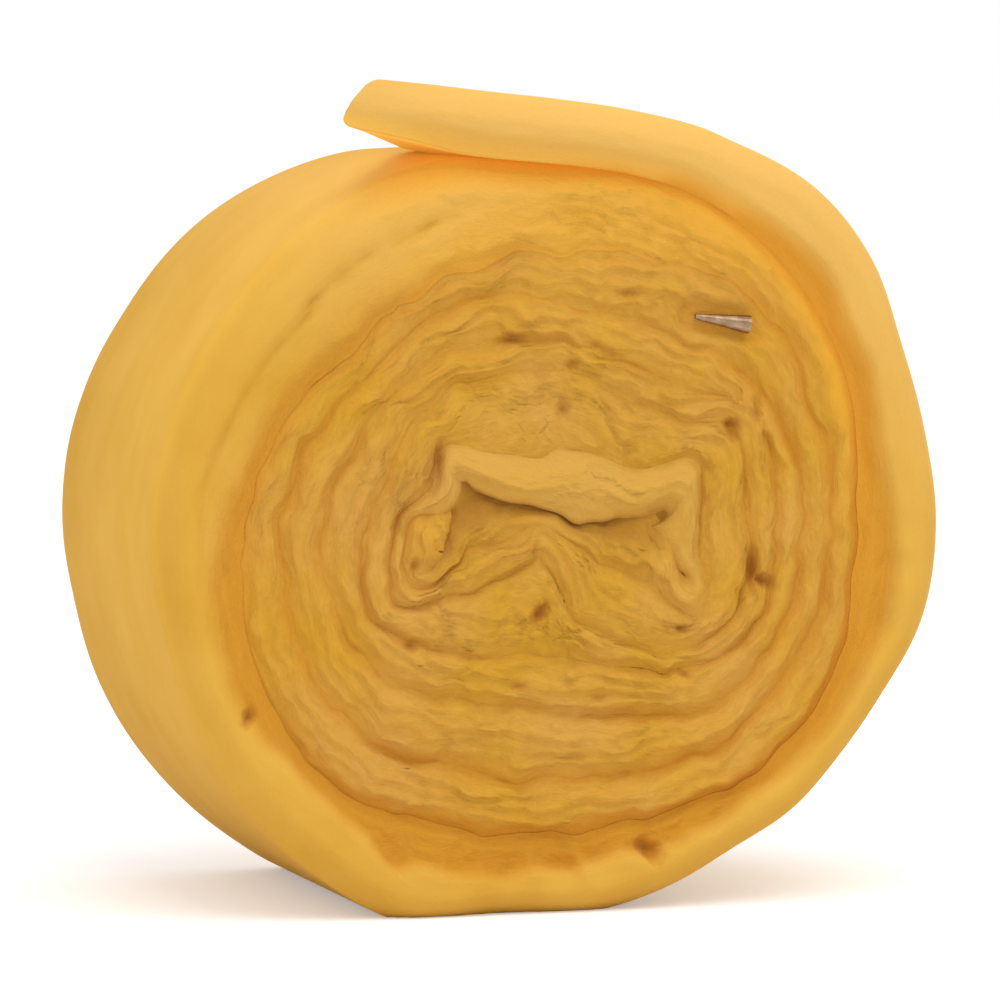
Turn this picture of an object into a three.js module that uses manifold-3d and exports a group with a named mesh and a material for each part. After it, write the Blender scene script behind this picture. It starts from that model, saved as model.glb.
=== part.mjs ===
// A roll of glass-wool pipe wrap lying on its side: one long strip of batt, wound up on itself
// with no tube inside.  The loose end of the strip lifts off the top, the first turns at the
// middle are folded flat, and every turn shows as a line on both ends of the roll.
// Millimetres.  X runs across the roll, Y along its axis (the near end faces -Y), Z is up.
import * as THREE from "three";
import { mergeVertices } from "three/addons/utils/BufferGeometryUtils.js";
import Module from "manifold-3d";

const wasm = await Module();
wasm.setup();

// ---- sizes of the strip and of the roll -------------------------------------------------
const BATT_WIDTH = 152;          // width of the strip, so the length of the roll
const BATT_LOFT = 18;            // thickness of the strip where nothing presses on it
const ROLL_RADIUS = 133;         // half of the roll's breadth
const SAG = 7;                   // how far its own weight has lowered the middle of the roll
const CENTRE_HEIGHT = ROLL_RADIUS - SAG;   // height of the winding centre over the floor
const EDGE_ROUND = 7;            // rounding of the strip's outer edges
const EDGE_STEPS = 4;            // rings in that rounding
const INNER_SETBACK = 5;         // how far the wound turns slip back behind the outer turn

// ---- grooves between the turns ----------------------------------------------------------
const GAP_DEPTH = 15;            // depth of the open gap inside the outer turn
const GROOVE_DEPTH = 9;          // depth of the lines between the pressed turns
const GROOVE_WIDTH = 2.4;        // width of those lines
const CREASE_RISE = 4;           // height of the sharp crease over the folded middle
const CREASE_SPREAD = 7;         // half-spread of that crease, degrees
const CREASE_AT = 87;            // where the crease stands, degrees
const RIPPLE = 0.9;              // height of the small waves along the inner turns
const RIPPLES_PER_TURN = 17;     // number of those waves in one turn

// ---- loose end --------------------------------------------------------------------------
const FLAP_TIP_LOFT = 16;        // thickness of the strip at its cut end
const FLAP_CUT_ANGLE = 27;       // the cut runs back across the strip by this angle
const FLAP_CORNER = 3;           // rounding of the two corners of the cut end
const FLAP_BACK = 6;             // how far behind the tip the slanted cut starts
const FLAP_PIECES = 22;          // straight pieces along the loose end

// ---- bright metal tip caught between two turns ------------------------------------------
const TIP_LENGTH = 19;
const TIP_LARGE_RADIUS = 3.1;
const TIP_SMALL_RADIUS = 0.9;
const TIP_GAP = 0.3;             // clearance round the tip
const TIP_SINK = 1.2;            // how deep its axis lies under the face of the turn
const TIP_SLOPE = 9;             // fall of the tip towards its large end, degrees
const TIP_PLACE = [49.5, 71.5];  // X and Z of its small end from the winding centre

// Outer surface of the roll: distance from the winding centre, as a share of ROLL_RADIUS,
// at each of these directions (degrees, 0 along +X, 90 up).
const OUTLINE = [
  [0, 1.0], [14, 1.0], [27, 1.02], [38, 1.06], [50, 1.087], [63, 1.075], [75, 1.06],
  [84, 0.975], [94, 0.945], [106, 0.955], [120, 0.975], [134, 0.985], [148, 0.98],
  [162, 0.995], [177, 1.0], [192, 0.995], [207, 1.005], [222, 1.015], [236, 1.027],
  [247, 1.035], [262, 0.96], [278, 0.955], [290, 0.93], [301, 0.922], [312, 0.938],
  [323, 0.942], [334, 0.958], [346, 0.99],
];

// Middle of the loose end, from the body to its tip, given as the outline is.
const FLAP = [
  [46.8, 0.989], [60.3, 1.0], [74.3, 1.0], [88.3, 0.993], [100.9, 1.037], [110.5, 1.117],
  [115.9, 1.204],
];

// Line between one turn and the next: distance from the winding centre, as a share of
// ROLL_RADIUS, at every eighth of a turn, going clockwise inwards.  It comes in from the open
// air under the loose end, one eighth before the top, and ends under the right-hand fold.
const TURN_LINE = [
  1.038, 0.895, 0.898, 0.827, 0.801, 0.789, 0.85, 0.827, 0.707,
  0.707, 0.782, 0.737, 0.703, 0.62, 0.699, 0.692, 0.617,
  0.583, 0.624, 0.658, 0.613, 0.451, 0.541, 0.59, 0.541,
  0.485, 0.504, 0.586, 0.492, 0.323, 0.402, 0.489, 0.455,
  0.421, 0.436, 0.515, 0.451,
];

// Half-width of the open gap at every eighth of the outer turn.
const GAP_HALF_WIDTH = [2.5, 1.8, 3.3, 3.0, 5.0, 4.6, 4.2, 1.2];

// Lines of the folded middle, each as points X, Z from the winding centre.  In order: the line
// between the turns goes on over a sharp crease and round the curled end; the upper side of
// the lip and of the fold at its right; the open mouth under that lip; the line between the
// two lower ridges; and the curl of the strip's free end.
const MIDDLE_LINES = [
  { width: 2.4, depth: 10, points: [[43, -41], [28, -38], [17.5, -33], [8, -27.5], [1, -18],
    [-3, -7.5], [-13.5, -13], [-25, -17], [-40, -23], [-51, -23.5], [-56, -14], [-56, -3],
    [-49, 8], [-40, 17]] },
  { width: 2.4, depth: 10, points: [[-40, 17], [-39, 26], [-33, 31], [-20, 27.5], [-5, 23.5],
    [10, 25.5], [24, 21.5], [38, 22.5], [49, 22.5], [52, 11], [51.5, -6], [54, -21], [50, -26]] },
  { width: 3.6, depth: 14, points: [[-29, 16], [-16, 11.5], [-4, 9], [8, 5.5], [20, 4.5],
    [31, 5], [39, 6.5], [42, -4], [47, -16]] },
  { width: 2.4, depth: 9, points: [[44, -23], [31, -15.5], [18, -12], [9, -3], [-2.5, 2.5],
    [-13, 0], [-27, -6.5], [-37, -15], [-46, -18.5]] },
  { width: 3.0, depth: 9, points: [[-48, 0], [-42, -5.5], [-44, -11]] },
];

// Small pockets where the batt is pinched: X and Z from the winding centre, radius.
const POCKETS = [
  [-6.6, -26.5, 2.8], [2.8, 43, 2.6], [7.3, 56.7, 2.2], [-15, 65.3, 2.4], [73, -15.5, 3.4],
  [63, 36.2, 2.6], [-49.5, -34.3, 2.6], [47.4, -45.7, 2.6], [-105.6, -57.7, 3.2],
  [-99.4, 61.9, 3.0], [-87.2, 77.1, 2.4], [31, -105.5, 3.6], [4, -106, 2.4],
];

const centre = new THREE.Vector2(0, CENTRE_HEIGHT);
const degrees = THREE.MathUtils.degToRad;

function fromCentre(angle, radius) {
  const a = degrees(angle);
  return new THREE.Vector2(Math.cos(a) * radius, Math.sin(a) * radius).add(centre);
}

// ---- solids -----------------------------------------------------------------------------
function solidOf(geometry) {
  geometry.deleteAttribute("normal");
  geometry.deleteAttribute("uv");
  const welded = mergeVertices(geometry, 1e-4);
  return new wasm.Manifold(new wasm.Mesh({
    numProp: 3,
    vertProperties: new Float32Array(welded.attributes.position.array),
    triVerts: new Uint32Array(welded.index.array),
  }));
}

function geometryOf(solid) {
  const mesh = solid.getMesh();
  const geometry = new THREE.BufferGeometry();
  geometry.setAttribute("position", new THREE.BufferAttribute(mesh.vertProperties.slice(), 3));
  geometry.setIndex(new THREE.BufferAttribute(mesh.triVerts.slice(), 1));
  geometry.computeVertexNormals();
  return geometry;
}

// A prism of an X-Z outline between two Y stations, its end edges rounded by `round`.
function prism(outline, nearY, farY, round = 0) {
  const geometry = new THREE.ExtrudeGeometry(new THREE.Shape(outline), {
    depth: farY - nearY - 2 * round,
    steps: 1,
    bevelEnabled: round > 0,
    bevelThickness: round,
    bevelSize: round,
    bevelOffset: -round,
    bevelSegments: EDGE_STEPS,
  });
  geometry.rotateX(Math.PI / 2);
  geometry.translate(0, farY - round, 0);
  return solidOf(geometry);
}

// Closed outline of a band that follows `line`, `half(k)` wide to each side at point k.
function band(line, half) {
  const left = [];
  const right = [];
  line.forEach((point, k) => {
    const before = line[Math.max(k - 1, 0)];
    const after = line[Math.min(k + 1, line.length - 1)];
    const side = after.clone().sub(before).normalize();
    side.set(-side.y, side.x).multiplyScalar(half(k));
    left.push(point.clone().add(side));
    right.push(point.clone().sub(side));
  });
  return left.concat(right.reverse());
}

// A smooth line through points that are given from the winding centre.
function smoothLine(points, pieces) {
  return new THREE.SplineCurve(points.map(([x, z]) => new THREE.Vector2(x, z).add(centre)))
    .getPoints(pieces);
}

const near = -BATT_WIDTH / 2;
const far = BATT_WIDTH / 2;

// ---- body of the roll -------------------------------------------------------------------
const OUTLINE_PIECES = 112;
const outlineStations = OUTLINE.map(([angle, share]) => {
  const point = fromCentre(angle, share * ROLL_RADIUS);
  return new THREE.Vector3(point.x, point.y, 0);
});
const outlineCurve = new THREE.CatmullRomCurve3(outlineStations, true, "centripetal");
const bodyOutline = outlineCurve.getPoints(OUTLINE_PIECES).slice(0, OUTLINE_PIECES)
  .map((p) => new THREE.Vector2(p.x, Math.max(p.y, 0)));
let body = prism(bodyOutline, near, far, EDGE_ROUND);

// ---- loose end of the strip -------------------------------------------------------------
const flapLine = new THREE.SplineCurve(
  FLAP.map(([angle, share]) => fromCentre(angle, share * ROLL_RADIUS))).getSpacedPoints(FLAP_PIECES);
const flapHalf = (k) => THREE.MathUtils.lerp(BATT_LOFT, FLAP_TIP_LOFT, k / (flapLine.length - 1)) / 2;
const flapBand = band(flapLine, flapHalf);
const tipAt = flapLine.length;
const tipTop = flapBand[tipAt - 1];
const tipLow = flapBand[tipAt];
const tipBack = flapBand[tipAt - 2].clone().sub(tipTop).setLength(FLAP_CORNER);
const tipDown = tipLow.clone().sub(tipTop).setLength(FLAP_CORNER);
flapBand.splice(tipAt - 1, 2,
  tipTop.clone().add(tipBack),
  tipTop.clone().add(tipDown),
  tipLow.clone().sub(tipDown),
  tipLow.clone().add(tipBack));
let flap = prism(flapBand, near, far, EDGE_ROUND / 2);

// The strip was cut at a slant, so the loose end is shorter at the far side.
const cutter = new THREE.BoxGeometry(BATT_WIDTH * 2, BATT_WIDTH * 4, BATT_LOFT * 6);
cutter.translate(-BATT_WIDTH, 0, 0);
cutter.rotateZ(degrees(-FLAP_CUT_ANGLE));
cutter.translate(tipTop.x - FLAP_BACK, near, tipTop.y);
flap = flap.subtract(solidOf(cutter));
body = body.add(flap);

// ---- line between the turns -------------------------------------------------------------
const PIECES_PER_EIGHTH = 5;
const LAST_EIGHTH_SPAN = TURN_LINE.length - 1;
const LAST_EIGHTH = TURN_LINE.length - 2;
const GAP_START = -0.5;
const lineCurve = new THREE.SplineCurve(
  TURN_LINE.map((share, k) => new THREE.Vector2(k, share * ROLL_RADIUS)));

function turnPoint(eighths) {
  const angle = 90 - 45 * eighths;
  const turn = eighths / 8;
  let radius = lineCurve.getPoint((eighths + 1) / LAST_EIGHTH_SPAN).y;
  const off = THREE.MathUtils.euclideanModulo(angle - CREASE_AT + 180, 360) - 180;
  const inner = THREE.MathUtils.smoothstep(turn, 1.2, 2);
  radius += inner * CREASE_RISE * Math.exp(-((off / CREASE_SPREAD) ** 2));
  radius += inner * RIPPLE * Math.sin(degrees(angle) * RIPPLES_PER_TURN);
  return fromCentre(angle, radius);
}

function turnLine(fromEighth, toEighth) {
  const count = Math.round((toEighth - fromEighth) * PIECES_PER_EIGHTH);
  return Array.from({ length: count + 1 },
    (_, k) => turnPoint(fromEighth + (k / count) * (toEighth - fromEighth)));
}

// Everything inside the open gap is one wound plug that has slipped back along the axis.
const plugOutline = turnLine(0.4, 8.4);
const gapLine = turnLine(GAP_START, 7);
const gapHalf = (k) => {
  const eighth = THREE.MathUtils.clamp(k / PIECES_PER_EIGHTH + GAP_START, 0, 6.999);
  const whole = Math.floor(eighth);
  return THREE.MathUtils.lerp(GAP_HALF_WIDTH[whole], GAP_HALF_WIDTH[whole + 1], eighth - whole);
};
const gapBand = band(gapLine, gapHalf);
const innerBand = band(turnLine(6.9, LAST_EIGHTH), () => GROOVE_WIDTH / 2);

const SPARE = 2;   // cutters stand this far out of the faces they cut
body = body.subtract(prism(plugOutline, near - SPARE, near + INNER_SETBACK));
body = body.add(prism(plugOutline, far - GAP_DEPTH, far + INNER_SETBACK));

function cutBothEnds(solid, outline, depth) {
  const nearFace = near + INNER_SETBACK;
  const farFace = far + INNER_SETBACK;
  return solid
    .subtract(prism(outline, near - SPARE, nearFace + depth))
    .subtract(prism(outline, farFace - depth, farFace + SPARE));
}

body = cutBothEnds(body, gapBand, GAP_DEPTH);
body = cutBothEnds(body, innerBand, GROOVE_DEPTH);
for (const { width, depth, points } of MIDDLE_LINES) {
  body = cutBothEnds(body, band(smoothLine(points, points.length * 3), () => width / 2), depth);
}
const POCKET_SIDES = 8;
for (const [x, z, radius] of POCKETS) {
  const ring = Array.from({ length: POCKET_SIDES }, (_, k) => {
    const a = (k / POCKET_SIDES) * 2 * Math.PI;
    return new THREE.Vector2(x + Math.cos(a) * radius, z + Math.sin(a) * radius).add(centre);
  });
  body = cutBothEnds(body, ring, GROOVE_DEPTH);
}

// ---- metal tip --------------------------------------------------------------------------
function tipSolid(extra) {
  const geometry = new THREE.CylinderGeometry(
    TIP_SMALL_RADIUS + extra, TIP_LARGE_RADIUS + extra, TIP_LENGTH + 2 * extra, 20);
  geometry.translate(0, -TIP_LENGTH / 2, 0);
  geometry.rotateZ(Math.PI / 2);
  geometry.rotateY(degrees(TIP_SLOPE));
  geometry.translate(TIP_PLACE[0], near + INNER_SETBACK + TIP_SINK, CENTRE_HEIGHT + TIP_PLACE[1]);
  return solidOf(geometry);
}

const tip = tipSolid(0);
body = body.subtract(tipSolid(TIP_GAP));

// ---- meshes -----------------------------------------------------------------------------
const wool = new THREE.MeshStandardMaterial({ color: 0xe0ac4e, roughness: 0.95, metalness: 0 });
const metal = new THREE.MeshStandardMaterial({ color: 0xc9bdb2, roughness: 0.3, metalness: 1 });

const group = new THREE.Group();
group.name = "insulation_roll";

const roll = new THREE.Mesh(geometryOf(body), wool);
roll.name = "wound_batt";
group.add(roll);

const metalTip = new THREE.Mesh(geometryOf(tip), metal);
metalTip.name = "metal_tip";
group.add(metalTip);

// The origin lies on the floor under the middle of the roll's box.
const box = new THREE.Box3().setFromObject(roll);
const middle = box.getCenter(new THREE.Vector3());
group.position.set(-middle.x, -middle.y, -box.min.z);

export default group;
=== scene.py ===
# %% [markdown]
# # A roll of glass-wool pipe wrap
#
# The object is one long strip of soft yellow batt, wound up on itself and laid on its side.
# This lesson rebuilds it in Blender around the imported solids: the strip is made as one long
# padded piece that really winds, folds at the middle and lifts off at the top, and its
# material is mixed from noise, so that the fibres follow the strip.
#
# First the imported model is loaded. It fixes the size and the place of everything.

# %% Load the imported frame
import math

import bmesh
import bpy
import numpy as np
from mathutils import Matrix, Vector


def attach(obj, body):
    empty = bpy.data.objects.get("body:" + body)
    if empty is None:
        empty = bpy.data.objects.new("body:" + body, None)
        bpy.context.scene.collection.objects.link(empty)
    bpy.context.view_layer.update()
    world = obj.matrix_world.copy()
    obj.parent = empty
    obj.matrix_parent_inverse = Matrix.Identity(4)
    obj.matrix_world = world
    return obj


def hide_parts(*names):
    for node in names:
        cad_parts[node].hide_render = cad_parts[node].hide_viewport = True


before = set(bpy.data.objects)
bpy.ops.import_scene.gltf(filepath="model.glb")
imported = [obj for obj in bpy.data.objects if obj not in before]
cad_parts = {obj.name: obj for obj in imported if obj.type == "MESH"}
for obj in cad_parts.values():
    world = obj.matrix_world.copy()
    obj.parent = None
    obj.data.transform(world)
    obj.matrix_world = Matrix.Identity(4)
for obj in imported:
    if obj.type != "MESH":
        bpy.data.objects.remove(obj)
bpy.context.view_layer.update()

# %% [markdown]
# ## Camera
#
# A long lens from a little over two metres keeps the near end almost free of perspective. The
# camera stands to the left and slightly above, so the left wall of the roll shows beside its
# end.

# %% Camera
CAMERA_PLACE = Vector((-0.6464, -2.1946, 0.2999))
CAMERA_AIM = Vector((0.0032, 0.0, 0.1322))
CAMERA_FIELD = 8.504      # angle of view from left to right, degrees


def turned_towards(place, aim):
    """The rotation that points a camera or a lamp from one place at another."""
    return (aim - place).to_track_quat("-Z", "Y").to_euler()


camera_data = bpy.data.cameras.new("camera")
camera_data.angle = math.radians(CAMERA_FIELD)
camera = bpy.data.objects.new("camera", camera_data)
camera.location = CAMERA_PLACE
camera.rotation_euler = turned_towards(CAMERA_PLACE, CAMERA_AIM)
bpy.context.scene.collection.objects.link(camera)
bpy.context.scene.camera = camera
print("camera is", round((CAMERA_AIM - CAMERA_PLACE).length, 3), "m from the roll")

# %% [markdown]
# ## Random fields
#
# Wool is uneven everywhere, but it has to be uneven in the same way on every run. This small
# field gives each cell of a square lattice a fixed value between -1 and 1, worked out from
# the cell's own numbers, and blends smoothly between the cells. Adding copies of half the
# size gives waves on several scales.

# %% A field of smooth waves
# odd numbers that mix the cells' numbers well
MIX_U, MIX_V, MIX_SEED, MIX_LAST = 374761393, 668265263, 144665, 1274126177
OCTAVE_SHIFT = (31.7, 17.3)      # each copy is moved by this, so that the copies don't line up


def lattice_value(cell_u, cell_v, seed):
    key = cell_u * MIX_U + cell_v * MIX_V + seed * MIX_SEED
    key = (key ^ (key >> 13)) & 0xFFFFFFFF
    key = (key * MIX_LAST) & 0xFFFFFFFF
    return ((key ^ (key >> 16)) & 0xFFFFFF) / 0x7FFFFF - 1.0


def waves(x, y, seed, octaves=2):
    x, y = np.broadcast_arrays(np.asarray(x, float), np.asarray(y, float))
    total = np.zeros(x.shape)
    size, share = 1.0, 1.0
    for octave in range(octaves):
        u = x * size + OCTAVE_SHIFT[0] * octave
        v = y * size + OCTAVE_SHIFT[1] * octave
        cell_u, cell_v = np.floor(u), np.floor(v)
        fu, fv = u - cell_u, v - cell_v
        fu, fv = fu * fu * (3 - 2 * fu), fv * fv * (3 - 2 * fv)
        cell_u, cell_v = cell_u.astype(np.int64), cell_v.astype(np.int64)
        near = lattice_value(cell_u, cell_v, seed) * (1 - fu)
        near = near + lattice_value(cell_u + 1, cell_v, seed) * fu
        far = lattice_value(cell_u, cell_v + 1, seed) * (1 - fu)
        far = far + lattice_value(cell_u + 1, cell_v + 1, seed) * fu
        total = total + share * (near * (1 - fv) + far * fv)
        size, share = size * 2.0, share * 0.5
    return total


print("four places of the field:", waves([0.3, 1.1, 2.6, 3.9], [0, 0, 0, 0], 1).round(2))

# %% [markdown]
# Three more helpers are used all through this lesson. The first goes smoothly from 0 to 1
# between two limits. The second reads a value from a short table of rows, each a place and
# the value there. The third gives a smooth curve through such values.

# %% Steps, tables and curves
def smooth(value, low, high):
    t = np.clip((value - low) / (high - low), 0.0, 1.0)
    return t * t * (3 - 2 * t)


def from_table(rows, at):
    """Value at a place, read from rows of (place, value), straight between the rows."""
    rows = np.asarray(rows, float)
    return np.interp(at, rows[:, 0], rows[:, 1])


def catmull(knots, values, at):
    """Smooth curve through values at evenly or unevenly spaced knots."""
    values = np.asarray(values, float)
    slope = np.gradient(values, knots, axis=0)
    k = np.clip(np.searchsorted(knots, at, side="right") - 1, 0, len(knots) - 2)
    span = knots[k + 1] - knots[k]
    t = (at - knots[k]) / span
    if values.ndim == 2:
        t, span = t[:, None], span[:, None]
    a, b = values[k], values[k + 1]
    h00 = 2 * t**3 - 3 * t**2 + 1
    h10 = t**3 - 2 * t**2 + t
    h01 = -2 * t**3 + 3 * t**2
    h11 = t**3 - t**2
    return h00 * a + h10 * span * slope[k] + h01 * b + h11 * span * slope[k + 1]


print("half-way up a smooth step:", smooth(0.5, 0, 1))


# %% [markdown]
# ## The path of the strip
#
# The strip is described as it lies in the roll, in millimetres, by its two surfaces: the
# outer one, which faces away from the winding centre, and the inner one. From the loose end
# it runs clockwise inwards for four turns, then round a folded middle, and it ends in a
# small curl. Turns are easiest to give as distances from the centre, sixteen to a turn,
# because the inner surface of one turn is also the outer surface of the next.

# %% Outline and turns
CENTRE = np.array([0.0, 126.0])       # winding centre, X and Z
ROLL_RADIUS = 133.0

# outer surface of the roll: direction in degrees (0 along +X, 90 up), share of ROLL_RADIUS
OUTLINE = np.array([
    [-14, 1.013], [0, 1.023], [14, 1.02], [27, 1.038], [38, 1.082], [50, 1.103], [63, 1.085],
    [75, 1.067], [84, 0.975], [94, 0.947], [106, 0.967], [120, 0.984], [134, 0.998],
    [148, 1.0], [162, 1.013], [177, 1.019], [192, 1.012], [207, 1.021], [222, 1.027],
    [236, 1.032], [247, 1.035], [262, 0.958], [278, 0.958], [290, 0.948], [301, 0.939],
    [312, 0.957], [323, 0.96], [334, 0.976], [346, 1.013], [360, 1.023], [374, 1.02]])

# boundary between turns, from the top clockwise inwards, one row to a turn
TURNS = np.array([
    115, 117.5, 117, 113.5, 108.5, 111, 109.5, 102.5, 101, 104.5, 111, 109.5, 105.5, 100, 92, 93.5,
    94, 96.5, 104, 99.5, 98, 96.5, 93.5, 87, 82.5, 83, 93, 93.5, 92, 86.5, 82, 84,
    77.5, 76, 83, 88.5, 87.5, 88.5, 81.5, 67, 59.5, 60, 72, 78, 78.5, 74.5, 72, 67.5,
    64.5, 61.5, 67, 81, 78, 79.5, 65.5, 47.5, 42, 43.5, 53.5, 65.5, 65, 61, 60.5, 57, 56])
TURN_STEP = 22.5

QUARTER = 90.0            # the top of the roll, as a direction counted from +X


def at_direction(degrees, radius):
    angle = np.radians(degrees)
    return CENTRE + np.stack([np.cos(angle), np.sin(angle)], -1) * np.asarray(radius)[..., None]


def outline_radius(degrees):
    wrapped = np.mod(degrees, 360.0)
    return catmull(OUTLINE[:, 0], OUTLINE[:, 1], wrapped) * ROLL_RADIUS


def turn_radius(clockwise):
    knots = np.arange(len(TURNS)) * TURN_STEP
    return catmull(knots, TURNS, np.clip(clockwise, 0, knots[-1]))


print("turns:", (len(TURNS) - 1) * TURN_STEP / 360, " outer radius at the left (mm):",
      round(float(outline_radius(180.0)), 1))

# %% [markdown]
# The loose end and the folded middle don't follow circles, so they are given as pairs of
# points: one on the outer surface and the point across from it on the inner surface. Each row
# holds X and Z of the first and then X and Z of the second.

# %% Loose end and folded middle
LOOSE_END = np.array([
    [-65.2, 276.9, -75.4, 262.2], [-45.0, 275.0, -51.6, 257.4], [-20.0, 272.2, -25.8, 251.5],
    [4.4, 269.5, 6.0, 248.3], [29.0, 265.8, 29.0, 244.8]])

MIDDLE = np.array([
    [12.5, 190.5, 12.5, 179], [22, 184.5, 20, 173.5], [35, 176, 30, 168.5], [51, 172, 44, 164],
    [63, 170, 55, 162], [71, 167.5, 61.5, 159.5], [74.5, 159.5, 66, 152], [76.5, 147.5, 68, 142.5],
    [78, 132.5, 68.5, 129.5], [78, 119, 69, 117.5], [78.5, 107.5, 67, 106.5], [75, 97.5, 63, 99],
    [66.5, 88.5, 56, 91], [58, 81.5, 48.5, 86.5], [47.5, 79.5, 38.5, 85.5], [35, 81, 28, 88],
    [24.5, 82.5, 17.5, 93], [14, 83, 8, 98.5], [5.5, 84, 2, 107], [-2, 84.5, -3, 118.5],
    [-11, 86, -13.5, 113], [-20.5, 86.5, -22, 110.5], [-29, 87.5, -30, 107.5],
    [-39.5, 89.5, -37, 104.5], [-49, 91.5, -44.5, 102.5], [-56.5, 96, -51, 102.5],
    [-62, 103.5, -55, 106.5], [-64.5, 112.5, -56, 115], [-64.5, 122.5, -55.5, 123],
    [-63.5, 132, -54, 129.5], [-61, 141, -48.5, 135], [-55.5, 150, -43.5, 143.5],
    [-49.5, 159, -41, 151], [-44, 167.5, -39, 156], [-35, 175.5, -32.5, 158], [-22, 179, -19.5, 157.5],
    [-8.5, 180.5, -6.5, 155], [3, 182, 3, 155.5], [12.5, 179, 12.5, 154.5], [23, 171.5, 22, 152],
    [33.5, 166.5, 30, 149], [47.5, 163.5, 39.5, 150], [58.5, 161.5, 47.5, 151.5],
    [64, 156, 51.5, 148.5], [67.5, 146, 52, 141.5], [68.5, 132.5, 51.5, 131.5],
    [69, 119.5, 51.5, 120.5], [67, 106.5, 53, 110.5], [62.5, 98.5, 54.5, 103.5],
    [56, 91, 52, 99.5], [47.5, 86.5, 47.5, 98.5], [35, 86, 41, 103], [24.5, 89.5, 36, 109],
    [14, 94.5, 27, 111], [6.5, 100, 18.5, 114], [2, 107.5, 12, 119.5], [-0.5, 115, 5, 125],
    [-3, 118.5, -2.5, 128.5], [-9, 116, -10.5, 127], [-18.5, 111.5, -19.5, 123],
    [-29, 107.5, -27.5, 120], [-36.5, 104.5, -33.5, 115], [-44.5, 102.5, -39, 110],
    [-51, 102.5, -45.5, 107], [-55, 106.5, -50, 110], [-55.5, 115.5, -52, 118],
    [-54, 125.5, -50, 126.5], [-49.5, 133, -44.5, 132], [-43.5, 138.5, -39, 135.5],
    [-40, 143.5, -34, 138], [-39, 147.5, -31.5, 142], [-39, 152, -31.5, 144.5],
    [-37, 155.5, -30, 144.5], [-29.5, 154.5, -27.5, 142.5], [-22, 151.5, -22.5, 140.5],
    [-13.5, 149, -16, 138], [-4, 148, -6, 136.5], [3, 151.5, 2, 133], [10.5, 152, 9.5, 130.5],
    [20, 148.5, 19.5, 130.5], [30, 145.5, 30, 131], [38.5, 147.5, 36, 133.5],
    [45.5, 149.5, 40, 135], [50, 147.5, 41.5, 134], [51, 141.5, 41, 132], [51, 131.5, 40.5, 129],
    [50.5, 120.5, 41.5, 122], [52, 111.5, 44.5, 115.5], [53.5, 104.5, 48.5, 109.5],
    [50, 100, 47.5, 108], [44, 102, 44, 109.5], [38.5, 106, 39.5, 114.5], [31.5, 110.5, 33.5, 119.5],
    [24.5, 112, 27, 122.5], [17.5, 114, 20, 125.5], [12, 119.5, 14, 128.5], [5, 125, 6, 131.5],
    [-2.5, 128.5, -2.5, 133], [-10.5, 127, -11, 133.5], [-19.5, 123, -19.5, 133],
    [-27.5, 120, -27, 132], [-33.5, 115, -32.5, 127.5], [-38, 110, -36, 122],
    [-43.5, 107.5, -40, 116], [-49, 109, -42.5, 114], [-51, 114.5, -42.5, 116.5],
    [-50, 121.5, -43, 120.5], [-47.5, 127.5, -42.5, 123.5], [-43.5, 133, -40.5, 125],
    [-39, 134.5, -38, 125], [-35, 131.5, -36.5, 124.5], [-33.5, 128, -35.5, 124]])

print("pairs of points:", len(LOOSE_END), "on the loose end and", len(MIDDLE), "in the middle")

# %% [markdown]
# The three stretches are joined into one list of crossings, from the loose end inwards. Near
# the top the outermost turn passes in under the loose end. There its outer surface moves from
# the roll's outline to the underside of the loose end, which lies a little above it.

# %% Both surfaces of the whole strip
FLAP_GAP = 6.0            # lift of the loose end's underside over the turn below it
GAP_CLOSES = 95.0         # degrees of sweep over which that lift dies out
TUCK_FAR = (355.0, 374.0)     # where the outermost turn passes in under the loose end, far side
TUCK_NEAR = (344.0, 364.0)    # the same at the near side, where the loose end is longer
WOUND_FROM, WOUND_TO, SWEEP_STEP = 22.5, 1441.0, 3.0     # the turns, degrees clockwise from the top

sweep = np.arange(WOUND_FROM, WOUND_TO, SWEEP_STEP)


def lift(clockwise):
    return FLAP_GAP * (1 - smooth(clockwise, 0, GAP_CLOSES))


inner_r = turn_radius(sweep) + lift(sweep)
below_flap = turn_radius(np.maximum(sweep - 360, 0)) + lift(sweep - 360)
free_r = outline_radius(QUARTER - sweep)
outer_r = free_r + (below_flap - free_r) * smooth(sweep, *TUCK_FAR)
tuck_more = (free_r - below_flap) * (smooth(sweep, *TUCK_NEAR) - smooth(sweep, *TUCK_FAR))
wound = np.concatenate([at_direction(QUARTER - sweep, outer_r),
                        at_direction(QUARTER - sweep, inner_r)], 1)
crossings = np.concatenate([LOOSE_END, wound, MIDDLE])
middle_line = (crossings[:, :2] + crossings[:, 2:]) / 2
step = np.linalg.norm(np.diff(middle_line, axis=0), axis=1)
along = np.concatenate([[0], np.cumsum(step)])
strip_length = along[-1]
print("strip length (m):", round(strip_length / 1000, 3), " crossings:", len(crossings))

# %% [markdown]
# ## Cross-sections
#
# A curve with a profile could carry the strip, but its profile can't change from place to
# place as the wool's does. A cloth simulation would press the turns into each other and lose
# the two cut edges, which make the look of the roll. So the strip is lofted: nearly two
# thousand cross-sections stand along the path, and each is a closed loop of points. They are
# denser in the inner turns, where the strip bends and crumples, along the lumpy part of the
# rim, and at the cut end.

# %% Stations along the strip
SECTIONS = 1849
TIGHT_FROM = 700.0        # sweep from which the strip bends and crumples more
LUMPY_RIM = (155.0, 214.0)
END_ROUND = 4.5           # rounding of the strip's cut end, mm
DENSER_TIGHT, DENSER_RIM, DENSER_END = 0.3, 0.9, 2.5     # how much denser the sections are there
MIDDLE_SWEEP = 0.8        # degrees that a millimetre of the folded middle counts for
FINE_STEPS = 4001

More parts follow.
